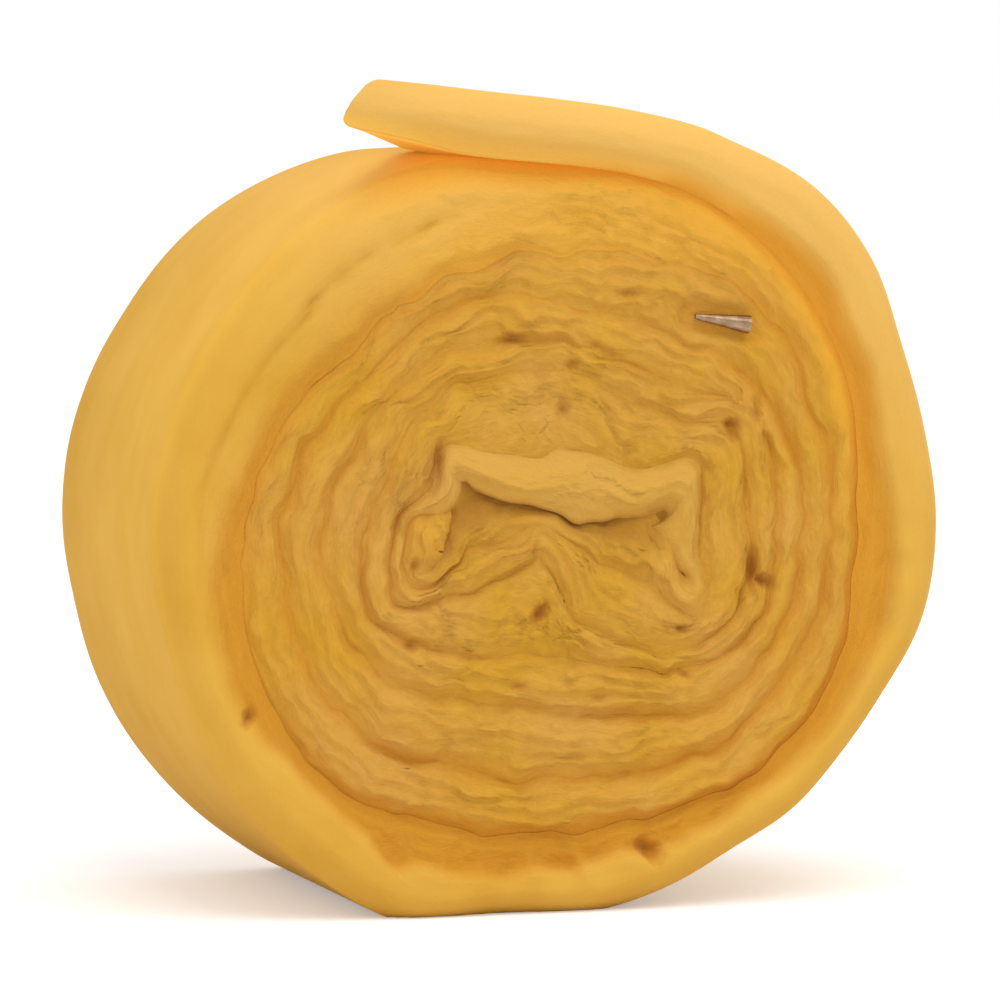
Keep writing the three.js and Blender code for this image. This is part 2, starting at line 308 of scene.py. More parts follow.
loose_sweep = QUARTER - np.degrees(np.arctan2(LOOSE_END[:, 1] - CENTRE[1], LOOSE_END[:, 0]))
first_middle = len(LOOSE_END) + len(sweep)
at_row = along[first_middle:]                            # where MIDDLE's rows lie along the strip
middle_sweep = WOUND_TO + (at_row - along[first_middle - 1]) * MIDDLE_SWEEP
sweep_at = np.concatenate([loose_sweep, sweep, middle_sweep])

spread = np.linspace(0, strip_length, FINE_STEPS)
spread_sweep = np.interp(spread, along, sweep_at)
density = 1.0 + DENSER_TIGHT * (spread_sweep >= TIGHT_FROM)
density = density + DENSER_RIM * ((spread_sweep > LUMPY_RIM[0]) & (spread_sweep < LUMPY_RIM[1]))
density = density + DENSER_END * (spread < END_ROUND)
count_to = np.concatenate([[0], np.cumsum((density[1:] + density[:-1]) / 2 * np.diff(spread))])
# where the sections stand along the strip, in mm, and their sweep in degrees from the top
stations = np.interp(np.linspace(0, count_to[-1], SECTIONS), count_to, spread)
turned = np.interp(stations, along, sweep_at)
print("sections:", SECTIONS, "spacing (mm):", round(float(np.diff(stations).max()), 2),
      "down to", round(float(np.diff(stations).min()), 2))

# %% [markdown]
# The strip is 152 mm wide. Its outermost turn stands a little in front of the wound turns at
# the near end, and the same turns stand out by as much at the far end, as they do when one
# strip of even width slips along its axis while it is wound. The loose end was cut at a
# slant, so it is shorter at the far side.

# %% Edges of the strip
BATT_WIDTH = 152.0
NEAR_OUTER, NEAR_WOUND = -78.5, -73.5     # near edge of the outermost turn and of the rest
SLIPPED_OVER = (300, 400)                 # sweep over which it slips back from one to the other
LOOSE_CUT = math.tan(math.radians(27))
CUT_REACH = 190.0                         # the slant dies out over this length of strip
OUTERMOST_ENDS = (300, 385)               # sweep over which the outermost turn goes in under itself

near_edge = NEAR_OUTER + (NEAR_WOUND - NEAR_OUTER) * smooth(turned, *SLIPPED_OVER)
far_edge = near_edge + BATT_WIDTH


def path_at(distance):
    flat = np.clip(distance, 0, strip_length).ravel()
    return catmull(along, crossings, flat).reshape(np.shape(distance) + (4,))


here = path_at(stations)
outer_face, inner_face = here[:, :2], here[:, 2:]
thick = np.linalg.norm(outer_face - inner_face, axis=1)
outward = (outer_face - inner_face) / thick[:, None]
outermost = 1 - smooth(turned, *OUTERMOST_ENDS)         # 1 on the outermost turn
wound_in = 1 - outermost
print("thickness of the strip (mm):", round(float(thick.min()), 1), "to", round(float(thick.max()), 1))

# %% [markdown]
# Where two turns don't quite touch, the wool behind the edge swells into the gap. So every
# face is measured against the nearest other face in front of it, and deeper in, both faces
# are moved out by half of what they find. That leaves soft valleys instead of long gaps.

# %% Gaps between the faces
REACH = 24.0              # a wider gap is open air
BEHIND = 4.0              # two faces may overlap by this and still count as facing each other
ASIDE = 2.0               # a face counts where it lies this close to the line straight ahead
ANOTHER = 22.0            # along the strip, two faces closer than this are the same bend
SMOOTHED_OVER = 7         # sections over which the widest gap is taken and smoothed
LOOSE_END_OVER = (380, 440)   # the loose end comes down to the part between these sweeps
OPEN_AIR = -2.0           # before this sweep, the loose end has only air below it


def gap_ahead(points, direction):
    faces = np.concatenate([outer_face, inner_face])
    owner = np.concatenate([stations, stations])
    gap = np.zeros(len(points))
    for i in range(len(points)):
        offset = faces - points[i]
        ahead = offset @ direction[i]
        aside = np.abs(offset @ np.array([-direction[i][1], direction[i][0]]))
        other = np.abs(owner - stations[i]) > ANOTHER
        near = other & (aside < ASIDE) & (ahead > -BEHIND) & (ahead < REACH)
        gap[i] = max(ahead[near].min(), 0.0) if near.any() else 0.0
    half = SMOOTHED_OVER // 2
    widest = np.max([np.roll(gap, k) for k in range(-half, half + 1)], axis=0)
    kernel = np.hanning(SMOOTHED_OVER) / np.hanning(SMOOTHED_OVER).sum()
    return np.convolve(widest, kernel, mode="same")


gap_out = gap_ahead(outer_face, outward) * smooth(turned, *LOOSE_END_OVER)
gap_in = gap_ahead(inner_face, -outward)
gap_in = np.where(turned < OPEN_AIR, 0.0, gap_in)
print("widest gap that is closed (mm):", round(float(max(gap_out.max(), gap_in.max())), 1))

# %% [markdown]
# ## Crown of the edges
#
# Each cut edge is a crowned ridge: it stands out in its middle and falls back smoothly
# towards both faces, so a soft valley runs between each turn and the next. Two turns that
# meet have to agree on the depth of the valley between them, or a thin dark step would show
# along it. So the depth is read at the place where they meet, and not from either turn.

# %% Depth of the valleys
RIDGE_DEPTH = 2.0         # depth of the valley at each face, mm
LEAST_DEPTH = 0.8         # a valley is nowhere shallower than this

# how deep the valleys are at each direction, degrees clockwise from the top
VALLEYS = [[0, 0.7], [60, 0.9], [90, 1.1], [130, 1.2], [170, 1.1], [230, 1.2], [265, 1.1],
           [300, 0.9], [330, 0.75], [360, 0.7]]
VALLEY_SPREAD = 26.0      # size of the patches in which the valleys are deeper or shallower
VALLEY_CHANGE = 0.4       # by this share
MIDDLE_SHARE = 0.72       # share of the depth that is left in the folded middle
MIDDLE_REACH = (52, 72)   # distances from the centre between which it changes to that


def direction_of(place):
    return np.degrees(np.arctan2(place[..., 0] - CENTRE[0], place[..., 1] - CENTRE[1])) % 360


def hump(place):
    """Share of RIDGE_DEPTH at a place, so that two turns that meet there agree."""
    share = from_table(VALLEYS, direction_of(place))
    far_out = smooth(np.linalg.norm(place - CENTRE, axis=-1), *MIDDLE_REACH)
    share = share * (MIDDLE_SHARE + (1 - MIDDLE_SHARE) * far_out)
    patches = waves(place[:, 0] / VALLEY_SPREAD, place[:, 1] / VALLEY_SPREAD, 21)
    return share * (1 + VALLEY_CHANGE * patches)


hump_out, hump_in = hump(outer_face), hump(inner_face)
print("valleys (mm):", round(float(RIDGE_DEPTH * hump_in.min()), 2), "to",
      round(float(RIDGE_DEPTH * hump_in.max()), 2))

# %% [markdown]
# The outermost turn is different. Its outer corner is well rounded, and its inner layers lie
# back in a recess, by an amount that changes round the roll. Where the strip was cut, its
# corners are crisp.

# %% Corners and recess
RIDGE_CORNER = 5.0        # breadth of the rounding on the wound turns, mm
WIDEST_CORNER = 0.46      # share of the thickness that a corner may take up
SKIN_CORNER = [[0, 9.5], [260, 9.5], [320, 12], [355, 13]]     # sweep, and breadth or depth
UNDER_FLAP_CORNER = SKIN_CORNER + [[372, 7.5], [455, RIDGE_CORNER]]
WOUND_FROM_HERE = 455     # sweep from which all corners are alike
INNER_CORNER = [[0, 9], [60, 7], [110, 4], [225, 5], [290, 10]]
INNER_DEPTH = [[0, 5], [60, 4], [110, 2.6], [225, 2.4], [265, 1.2]]
RECESS = [[-5, 2], [20, 5], [50, 6.5], [90, 6], [180, 7.5], [215, 6], [250, 4.5], [300, 3],
          [350, 0]]       # how far the inner layers of the outermost turn lie back
CRISP_SHARE, CRISP_OVER = 0.2, 45.0     # rounding left at the cut, and where it is whole again
GOES_UNDER = (355, 385)   # sweep over which the outermost turn goes in under the loose end

ridge_corner = np.minimum(RIDGE_CORNER, WIDEST_CORNER * thick)
corner_out = np.where(turned < WOUND_FROM_HERE, from_table(UNDER_FLAP_CORNER, turned), ridge_corner)
corner_in = from_table(INNER_CORNER, turned) * outermost + (1 - outermost) * ridge_corner
recess = from_table(RECESS, turned) * outermost
crisp = CRISP_SHARE + (1 - CRISP_SHARE) * smooth(stations, 0, CRISP_OVER)

depth_in = from_table(INNER_DEPTH, turned) * outermost + wound_in * RIDGE_DEPTH * hump_in
# each turn slopes back at least to the level of the turn it lies on
depth_in = np.maximum(depth_in, NEAR_WOUND + LEAST_DEPTH - near_edge - recess) * crisp
inner_corner = near_edge + recess + depth_in

met_corner = np.interp(turned - 360, turned, inner_corner)    # the corner that each turn lies against
depth_out = np.where(turned < WOUND_TO, met_corner - near_edge, RIDGE_DEPTH * hump_out)
depth_out = np.maximum(depth_out, LEAST_DEPTH)
under = smooth(turned, *GOES_UNDER)
depth_out = from_table(SKIN_CORNER, turned) * (1 - under) * crisp + under * depth_out
print("recess (mm): up to", round(float(recess.max()), 1), " deepest inner corner:",
      round(float(depth_in.max()), 1))

# %% [markdown]
# Now each section becomes a closed loop of points. Most of them lie on the two cut edges,
# because those make the ends of the roll; the inner face needs only a few. Every point is
# given by how far it lies from the outer face, and by its level along the roll's axis.

# %% Loop of points
NEAR_POINTS, FAR_POINTS = 25, 13
INNER_SHARES = np.array([0.04, 0.11, 0.5, 0.89, 0.96])
OUTER_SHARES = np.array([0.975, 0.93, 0.87, 0.78, 0.66, 0.5, 0.34, 0.2, 0.1, 0.045])
EVEN_SHARE = 0.55         # the rest of the spacing crowds the points towards the two faces
CROWN_POWER = 1.9         # how quickly the skin's corner falls back
CROWN_RISE = 0.7          # the middle of a ridge stands out by this
SKIN_ENDS = (380, 450)    # sweep over which the skin's round corner ends

skin_corner = (1 - smooth(turned, *SKIN_ENDS))[:, None]
batt = thick[:, None]


def edge_points(count):
    """Distance from the outer face and depth behind the edge, from outer to inner face."""
    even = np.linspace(0, 1, count)
    share = EVEN_SHARE * even + (1 - EVEN_SHARE) * (1 - np.cos(np.pi * even)) / 2
    a = batt * share
    to_out = np.clip(1 - a / corner_out[:, None], 0, 1)
    to_in = np.clip(1 - (batt - a) / corner_in[:, None], 0, 1)
    round_out = to_out ** CROWN_POWER * skin_corner + (1 - skin_corner) * smooth(to_out, 0, 1)
    back = depth_out[:, None] * round_out + depth_in[:, None] * smooth(to_in, 0, 1)
    back = back + CROWN_RISE * wound_in[:, None] * (2 * share - 1) ** 2
    return a, back


def between(first, last, shares):
    return first[:, None] + (last - first)[:, None] * shares


near_across, near_back = edge_points(NEAR_POINTS)
far_across, far_back = edge_points(FAR_POINTS)
across = np.concatenate([near_across, np.repeat(batt, len(INNER_SHARES), 1),
                         far_across[:, ::-1], np.zeros((SECTIONS, len(OUTER_SHARES)))], 1)
level = np.concatenate([
    near_edge[:, None] + near_back,
    between(inner_corner, far_edge - depth_in, INNER_SHARES),
    (far_edge[:, None] - far_back)[:, ::-1],
    between(near_edge + depth_out, far_edge - depth_out, OUTER_SHARES)], 1)
LOOP = across.shape[1]
column = np.arange(LOOP)
on_near = column < NEAR_POINTS
on_inner = (column >= NEAR_POINTS) & (column < NEAR_POINTS + len(INNER_SHARES))
on_wall = column >= LOOP - len(OUTER_SHARES)
on_far = ~(on_near | on_inner | on_wall)
print("points in a loop:", LOOP, " triangles:", 2 * LOOP * (SECTIONS - 1))

# %% [markdown]
# ## Relief of the edges
#
# The pale skin of the outermost turn stands proud, and its inner layers lie back in a recess
# with a lumpy rim. The rim is drawn as a line round the roll, by its radius at each sweep. From
# here on, a value that belongs to a whole section is a column, so it goes with every point of
# that section's loop.

# %% Rim of the skin
# sweep in degrees, radius of the skin's inner rim in mm
RIM = np.array([
    [0, 121], [10, 122.5], [20, 125], [32, 125.5], [45, 127], [51, 126], [57, 123], [69, 119.5],
    [77, 118], [92, 118.7], [104, 120], [110, 120], [121, 117.5], [134, 116], [145, 113], [154, 112],
    [160, 113.7], [162.8, 118], [164.5, 113.5], [168, 110.7], [174, 111.7], [176.9, 114],
    [180, 112.4], [184, 112.2], [188.8, 115], [192, 115.4], [198.6, 117.8], [203, 119.9],
    [206.5, 123], [209.7, 120.2], [213, 117.9], [222, 118.0], [232, 119.5], [244, 121.5], [256, 122],
    [266, 121.5], [276, 121], [292, 117], [310, 114], [330, 112], [360, 112]])
RIM_WAVES, RIM_WAVE_LENGTH = 1.3, 7.0     # size in mm and length in degrees
RIM_SOFTNESS = [[0, 4], [60, 4.5], [110, 3.6], [150, 3], [205, 2.6], [245, 6], [330, 8]]
LEAST_SKIN = 4.0          # the skin is nowhere thinner than this
FULL_RECESS = 8.0         # a recess of this depth is all rough inner wool

turn, far_along = turned[:, None], stations[:, None]
outer_turn, inner_turns = outermost[:, None], wound_in[:, None]
recess_depth = recess[:, None]
share_across = across / batt

rim_radius = from_table(RIM, turn) + RIM_WAVES * waves(turn / RIM_WAVE_LENGTH, 0 * turn, 31)
centre_out = np.linalg.norm(outer_face - CENTRE, axis=1)[:, None]
skin_width = np.maximum(centre_out - rim_radius, LEAST_SKIN)
rim_soft = from_table(RIM_SOFTNESS, turn)


def past_rim(distance):
    """From 0 on the skin to 1 beyond its rim."""
    return smooth(distance - skin_width, -0.5 * rim_soft, rim_soft)


step_back = past_rim(across)
in_recess = step_back * (recess_depth / FULL_RECESS).clip(0, 1) * outer_turn
print("skin (mm):", round(float(skin_width[turned < 300].min()), 1), "to",
      round(float(skin_width[turned < 300].max()), 1), "broad")

# %% [markdown]
# Inside the skin the wool splits into layers along the strip. So the relief is drawn out
# along it: waves that run a long way with the strip and change quickly across it. Regular
# valleys between the layers are one part, and narrow cracks, along the lines where a field
# crosses zero, are the other. A slow sideways wander keeps both from looking ruled.

# %% Layers of the wool
PLY, PLY_CORE = 4.9, 3.4      # thickness of one layer, and the same in the folded middle, mm
CORE_OVER = (1300, 1460)      # sweep over which the one becomes the other
PLY_DEPTH = 1.6               # depth of the valley between two layers
PLY_SHARP = 2.5               # a higher power makes those valleys narrower
LEAST_PLY = 0.25              # share of the depth where the layers hold together
PLY_PATCH = (34, 9, 8)        # length and breadth of such places in mm, and the field's seed
WANDERS = [(2.0, 14, 5), (1.3, 6, 6)]     # size and length in mm, and seed
CRACKS = (22, 3.2, 3)         # length, breadth and seed
CRACK_NARROW, CRACK_DEPTH = 0.16, 1.1
RIPPLES = (9, 4.0, 7)
RIPPLE_SIZE = 0.45
LAYERS_OUT = 0.6              # the layers stand out by this, so that their mean stays level
FACE_MARGIN = 2.8             # the relief fades out this close to a face
FOLD_RUFFLED = (1400, 1460)

# how far the layers are parted at each direction, degrees clockwise from the top
RUFFLED = [[0, 1.0], [40, 0.9], [75, 0.55], [120, 0.6], [160, 0.9], [220, 0.8], [260, 0.65],
           [300, 0.85], [360, 1.0]]


def drawn_out(length, breadth, seed, at=across, octaves=2):
    """Waves that are this long along the strip and this broad across it, in mm."""
    return waves(far_along / length, at / breadth, seed, octaves)


wander = sum(size * drawn_out(length, length, seed) for size, length, seed in WANDERS)
ply = PLY + (PLY_CORE - PLY) * smooth(turn, *CORE_OVER)
valley = (0.5 + 0.5 * np.cos(2 * np.pi * (across + wander) / ply)) ** PLY_SHARP
ply_share = LEAST_PLY + (1 - LEAST_PLY) * smooth(drawn_out(*PLY_PATCH), -0.7, 0.7)
cracks = np.exp(-((drawn_out(*CRACKS, at=across + wander) / CRACK_NARROW) ** 2))
layers = LAYERS_OUT - PLY_DEPTH * ply_share * valley
layers = layers - CRACK_DEPTH * cracks * (1 - 0.5 * ply_share)
layers = layers + RIPPLE_SIZE * drawn_out(*RIPPLES, at=across + wander)

from_face = np.minimum(across, batt - across)
ruffled = from_table(RUFFLED, direction_of(outer_face))[:, None]
ruffled = np.maximum(ruffled, smooth(turn, *FOLD_RUFFLED))
layers = layers * smooth(from_face, 0.0, FACE_MARGIN) * ruffled
print("layers (mm): from", round(float(layers.min()), 1), "to", round(float(layers.max()), 1))

# %% [markdown]
# Some places have a form of their own. In the folded middle a thick lip hangs over an open
# mouth: the lip stands out of the end, and the fold under it lies back.

# %% Lip and mouth
# rows of MIDDLE between which the lip and the mouth lie, each with its share
LIP_ROWS = [[67, 0], [70, 1], [85, 1], [88, 0.3]]
LIP_FROM, LIP_TO = 67, 92
MOUTH_ROWS = [[91, 0], [94, 1], [103, 1], [106, 0]]
LIP_RISE = 2.6            # how far the lip stands out, mm
LIP_CREST = (0.05, 0.6)   # it rises between these shares of the strip's thickness
LIP_FALL = 4              # and falls again towards the mouth, more suddenly by a higher power
LIP_SMOOTH = 0.45         # share of the layers' relief that it loses
MOUTH_DEPTH = 4.0         # how far the fold below the lip lies back
MOUTH_CREST = (0.1, 0.9)
SWELL, SWELL_LENGTH = 1.1, 40         # slow swells of the whole end, mm
SKIN_LAYERS = 0.1         # share of the layers' relief that shows on the skin
SKIN_SWELLS = (0.4, 1.0)  # the skin swells only between these shares of its thickness


def along_rows(rows):
    """Share at each section, from rows of (row of MIDDLE, share), straight between them."""
    rows = np.array(rows, float)
    return np.interp(far_along, at_row[rows[:, 0].astype(int)], rows[:, 1])


def mixed_across(pairs, share):
    """Point that lies this share of the way from the outer face to the inner one."""
    return pairs[..., :2] * (1 - share)[..., None] + pairs[..., 2:] * share[..., None]


lip = along_rows(LIP_ROWS) * ((far_along > at_row[LIP_FROM]) & (far_along < at_row[LIP_TO]))
mouth = along_rows(MOUTH_ROWS)
flat_place = mixed_across(here[:, None], share_across) / SWELL_LENGTH
swell = SWELL * waves(flat_place[..., 0], flat_place[..., 1], 11)
rough = np.maximum(in_recess, inner_turns)

near_relief = recess_depth * step_back
near_relief = near_relief + np.maximum(inner_turns, smooth(share_across, *SKIN_SWELLS)) * swell
layers_show = (SKIN_LAYERS + (1 - SKIN_LAYERS) * rough) * (1 - LIP_SMOOTH * lip)
near_relief = near_relief + layers_show * layers
lip_crest = smooth(share_across, *LIP_CREST) * (1 - share_across ** LIP_FALL)
near_relief = near_relief - LIP_RISE * lip * lip_crest
near_relief = near_relief + MOUTH_DEPTH * mouth * smooth(share_across, *MOUTH_CREST)
print("sections in the lip:", int((lip > 0.5).sum()), " in the mouth:", int((mouth > 0.5).sum()))

# %% [markdown]
# The skin is puckered on the right, and a narrow slit runs along its rim at the upper left.
# The curled inner end of the strip is rounded off. The far end of the roll is plainer: it has
# soft layers and swells, and none of these places.

# %% Puckers, slit and far end
PUCKER_DEPTH, PUCKER_LENGTH = 2.0, 9.0            # mm and degrees
PUCKER_STARTS, PUCKER_ENDS = (40, 80), (190, 240)
PUCKER_IN = (0.35, 1.0)       # a pucker grows between these shares of the skin's breadth
PUCKER_OUT = (0.6, 1.0)       # and dies out between these shares of the strip's thickness
SLIT_DEPTH, SLIT_BREADTH, SLIT_LENGTH = 2.4, 1.6, 6.0       # mm, mm and degrees
SLIT_SWEEP = [[262, 0], [282, 1], [338, 1], [350, 0]]
TAIL_ROUND, TAIL_DEPTH = 6.0, 3.5     # the inner end falls back by this depth over this length
FAR_LAYERS = (24, 3.0, 43)    # length, breadth and seed
FAR_DEPTH, FAR_SWELL = 0.9, 1.2

pucker = np.abs(waves(turn / PUCKER_LENGTH, 0 * turn, 33)) * smooth(turn, *PUCKER_STARTS)
pucker = pucker * (1 - smooth(turn, *PUCKER_ENDS)) * smooth(across / skin_width, *PUCKER_IN)
near_relief = near_relief + PUCKER_DEPTH * pucker * (1 - smooth(share_across, *PUCKER_OUT))

slit_part = from_table(SLIT_SWEEP, turn)
slit = np.exp(-(((across - skin_width) / SLIT_BREADTH) ** 2)) * slit_part
slit = slit * (0.8 + 0.6 * waves(turn / SLIT_LENGTH, 0 * turn, 35)).clip(0, 1)
near_relief = near_relief + SLIT_DEPTH * slit

far_relief = FAR_DEPTH * drawn_out(*FAR_LAYERS, octaves=3) * smooth(from_face, 0.0, FACE_MARGIN)
far_relief = far_relief + FAR_SWELL * swell
tail = 1 - ((strip_length - far_along) / TAIL_ROUND).clip(0, 1)
tail_back = TAIL_DEPTH * (1 - np.sqrt(1 - tail ** 2))
level = level + np.where(on_near, near_relief + tail_back, 0.0)
level = level - np.where(on_far, far_relief + tail_back, 0.0)
print("relief of the near end (mm): from", round(float(near_relief[:, on_near].min()), 1), "to",
      round(float(near_relief[:, on_near].max()), 1))

# %% [markdown]
# ## Place in space
#
# Every point now gets its X and Z from the path. At the loose end the sections lean, because
# the end was cut at a slant. Behind the edges the faces swell into the gaps that were
# measured before, and near the loose end the outermost turn tucks in sooner at the near side.

# %% Place in space
CLOSES_FROM = 2.0         # a gap starts to close this far out from the edge, mm
CLOSES_OVER = 0.65        # and is closed over this share of its width
SMALL_GAP = 2.5           # a gap below this width is closed at once
PRESSED, PRESSED_FOLD = 0.3, 0.4          # overlap of two faces, and more in the fold, mm
FOLD_OVER = (1400, 1440)
# under the loose end the inner face closes the whole gap, and further in it closes less of it
INNER_LESS, INNER_LESS_OVER = 0.5, (60, 95)
LIP_LESS, LIP_LESS_ROWS = 0.4, [[67, 0], [70, 1], [82, 1], [85, 0]]
MOUTH_MORE, MOUTH_MORE_ROWS = 0.45, [[89, 0], [91, 1], [103, 1], [106, 0]]
END_THINNER = 0.3         # share of the thickness that the rounded cut takes off at each face

loose = np.clip(1 - far_along / CUT_REACH, 0, 1)
pushed = far_along + (level - NEAR_OUTER) * LOOSE_CUT * loose
pairs = path_at(pushed)
flat_outward = pairs[..., :2] - pairs[..., 2:]
flat_outward = flat_outward / np.linalg.norm(flat_outward, axis=-1, keepdims=True)
xz = mixed_across(pairs, share_across)
from_end = np.minimum(level - near_edge[:, None], far_edge[:, None] - level)


def closed_by(gap):
    reach = 0.1 + CLOSES_OVER * np.maximum(gap - SMALL_GAP, 0)
    return smooth(from_end + CLOSES_FROM, 0.0, reach)


gap_out, gap_in = gap_out[:, None], gap_in[:, None]
in_part = 1 - INNER_LESS * smooth(turn, *INNER_LESS_OVER)
in_part = in_part - LIP_LESS * along_rows(LIP_LESS_ROWS) + MOUTH_MORE * along_rows(MOUTH_MORE_ROWS)
pressed = PRESSED + PRESSED_FOLD * smooth(turn, *FOLD_OVER)
swollen_out = closed_by(gap_out) * (gap_out / 2 + pressed) * (1 - share_across) * inner_turns
swollen_in = closed_by(gap_in) * (gap_in * in_part + pressed) * share_across

to_near = smooth(-level, -40, 60)
tucked = np.interp(turn, sweep, tuck_more) * to_near * (1 - share_across)
rounded = np.sqrt(1 - (1 - (far_along / END_ROUND).clip(0, 1)) ** 2)
rounded = (1 - rounded) * END_THINNER * batt * (2 * share_across - 1)
xz = xz + flat_outward * (swollen_out - swollen_in - tucked + rounded)[..., None]
print("highest point before the warp (mm):", round(float(xz[..., 1].max()), 1))

# %% [markdown]
# Real turns wander. One field moves the whole end of the roll about, so neighbouring turns
# move together and the lines between them wander without crossing. The outermost turn and the
# edge of the lip hardly move.

# %% Warp of the whole end
WARP = 2.0                # how far it moves things, mm
WARP_LENGTH = np.array([12, 12, 12, 11])      # wave lengths, X and Z, of the moves in X and in Z
WARP_FADES = (98, 122)    # distance from the centre over which the warp dies out
LIP_PLACE, LIP_SPAN, LIP_KEPT = np.array([6, 145]), np.array([52, 12]), 0.85

from_centre = np.linalg.norm(xz - CENTRE, axis=-1)
near_lip = np.exp(-(((xz - LIP_PLACE) / LIP_SPAN) ** 4).sum(-1))
amount = WARP * (1 - smooth(from_centre, *WARP_FADES)) * (1 - LIP_KEPT * near_lip)
warp_x = waves(xz[..., 0] / WARP_LENGTH[0], xz[..., 1] / WARP_LENGTH[1], 61)
warp_z = waves(xz[..., 0] / WARP_LENGTH[2], xz[..., 1] / WARP_LENGTH[3], 67)
xz = xz + np.stack([warp_x, warp_z], -1) * amount[..., None]
print("largest move (mm):", round(float(np.abs(amount * warp_x).max()), 1))

# %% [markdown]
# The end also has small dents and pits, most of them dark at the bottom. Each is a soft
# hollow, longer one way than the other, pressed into the near edge. Their table is read again
# by the material, which paints shade into them.

# %% Dents and pits
# X and Z, half length and half breadth in mm, slope in degrees, depth in mm and strength of its painted shade
PITS = np.array([
    [-73.7, 211.7, 4.0, 2.0, 40, 1.2, 0.0], [-104.9, 68.3, 2.6, 1.8, 60, 4.0, 0.8],
    [69.8, 112.4, 5.5, 1.7, 88, 4.0, 0.8], [73.0, 109.2, 3.9, 1.7, -25, 4.0, 0.9],
    [-4.8, 99.9, 3.5, 1.8, 42, 4.0, 0.95], [-48.6, 90.1, 2.2, 1.6, 0, 2.0, 0.5],
    [46.0, 78.2, 2.2, 0.9, -30, 1.5, 0.5], [-11.7, 76.3, 2.6, 1.1, 0, 2.0, 0.5],
    [15.3, 71.5, 2.4, 0.9, 0, 1.5, 0.35], [44.8, 93.4, 1.6, 1.1, 0, 2.0, 0.55],
    [3.3, 167.6, 2.4, 1.9, 60, 2.0, 0.5], [62.5, 161.3, 2.0, 1.5, -20, 4.0, 0.9],
    [62.8, 158.7, 2.4, 1.8, -60, 2.0, 0.5], [71.0, 166.2, 3.4, 1.5, 85, 2.5, 0.5],
    [6.8, 182.3, 1.8, 1.3, 0, 2.0, 0.5], [-13.7, 190.9, 4.2, 1.5, 5, 2.0, 0.5],
    [26.3, 205.7, 3.2, 1.0, 0, 1.5, 0.45], [49.6, 204.0, 2.2, 0.9, 0, 1.5, 0.2],
    [-39.2, 152.2, 4.2, 1.2, 88, 3.0, 0.6], [-47.2, 116.3, 2.2, 1.2, 85, 2.0, 0.45],
    [32.4, 20.5, 2.9, 2.0, -30, 3.0, 0.8], [15.4, 188.2, 6.5, 1.4, -27, 1.5, 0.4]])
NARROWEST_PIT = 1.5       # a narrower one would fall between the points, mm
PIT_EDGE = 1.8            # a higher power makes the edge of a pit sharper

pit = np.zeros(level.shape)
for x, z, length, breadth, slope, depth, pit_shade in PITS:
    run = np.array([math.cos(math.radians(slope)), math.sin(math.radians(slope))])
    off = xz - np.array([x, z])
    ahead, aside = off @ run, off @ np.array([-run[1], run[0]])
    distance = np.hypot(ahead / length, aside / max(breadth, NARROWEST_PIT))
    pit = np.maximum(pit, depth * np.exp(-(distance ** PIT_EDGE)))
level = level + np.where(on_near, pit, 0.0)
print("pits:", len(PITS), " deepest (mm):", round(float(pit.max()), 1))

# %% [markdown]
# The metal tip is caught between two turns and shows all along its length. So the wool in
# front of it is pressed back.

# %% Room for the metal tip
TIP_LINE = np.array([[49.3, 197.6], [68.7, 194.6]])      # X and Z of its two ends
TIP_FREE, TIP_SLOPE = 4.2, 3.5    # the wool is free within this distance and slopes over that
TIP_LEVEL = -70.5                 # the wool beside the tip lies back to this Y

tip_run = TIP_LINE[1] - TIP_LINE[0]
reached = np.clip(((xz - TIP_LINE[0]) @ tip_run) / (tip_run @ tip_run), 0, 1)
off_tip = np.linalg.norm(xz - TIP_LINE[0] - reached[..., None] * tip_run, axis=-1)
under_tip = np.where(on_near, smooth(-off_tip, -TIP_FREE - TIP_SLOPE, -TIP_FREE), 0.0)
level = level + under_tip * np.maximum(TIP_LEVEL - level, 0)
print("points under the tip:", int((under_tip > 0.5).sum()))

# %% [markdown]
# ## Values for the material
#
# The material has to know which parts are pale skin, which valleys between layers get painted
# shade, and where a painted glow stands for light that comes through the wool. All of it
# follows from the shape, so it is worked out here and kept with every point of the mesh. First
# comes how deep a point lies, and where the skin ends.

# %% Painted shade in the valleys, skin and painted glow
# painted shade: the valleys, the cracks between layers and a line along each face are darkened in colour
VALLEY_DARK = (0.2, 6.5)      # depth behind the edge over which a valley darkens, mm
FACE_DARK = 0.8               # share of that which the strip's faces take
CRACK_DARK, CREASE_DARK, SEAM_DARK = 0.6, 0.42, 0.25
MOST_DARK = 1.15
SEAM, SEAM_LENGTH = 1.3, 40   # breadth of the painted shade line along each face, and its changes, mm
SKIN_RUNS_ON = 7.0            # beyond the slit the pale skin goes on for this much
FLAP_OVER = (60, 110)         # sweep over which the loose end becomes the outermost turn
BELOW_STARTS, BELOW_ENDS = (322, 345), (420, 460)     # the part that lies under the loose end
SHADOWED, SLIT_DARK = 0.85, 0.9       # share of the skin's paleness that painted shade takes in that gap, and in the slit
BELOW_SHADE = (3.0, 12.0)     # the shade reaches this far in from the outer face, mm
FLAP_SHADED, FLAP_SHADE = 0.7, (0.5, 1.0)     # on the loose end, and between which shares of its thickness
# how strong the painted warm glow is on the second turn beside the outermost one, by direction from the top
SECOND_STARTS, SECOND_ENDS, SECOND_SHADE = (385, 420), (680, 715), (1.0, 7.0)
SECOND_GLOW = [[60, 0], [95, 0.7], [150, 0.7], [175, 0.4], [240, 0.4], [262, 0.8], [315, 0.8],
               [335, 0]]


def on(columns, values):
    """The values on these columns of the loop, and 0 on all others."""
    return np.where(columns, values, 0.0)


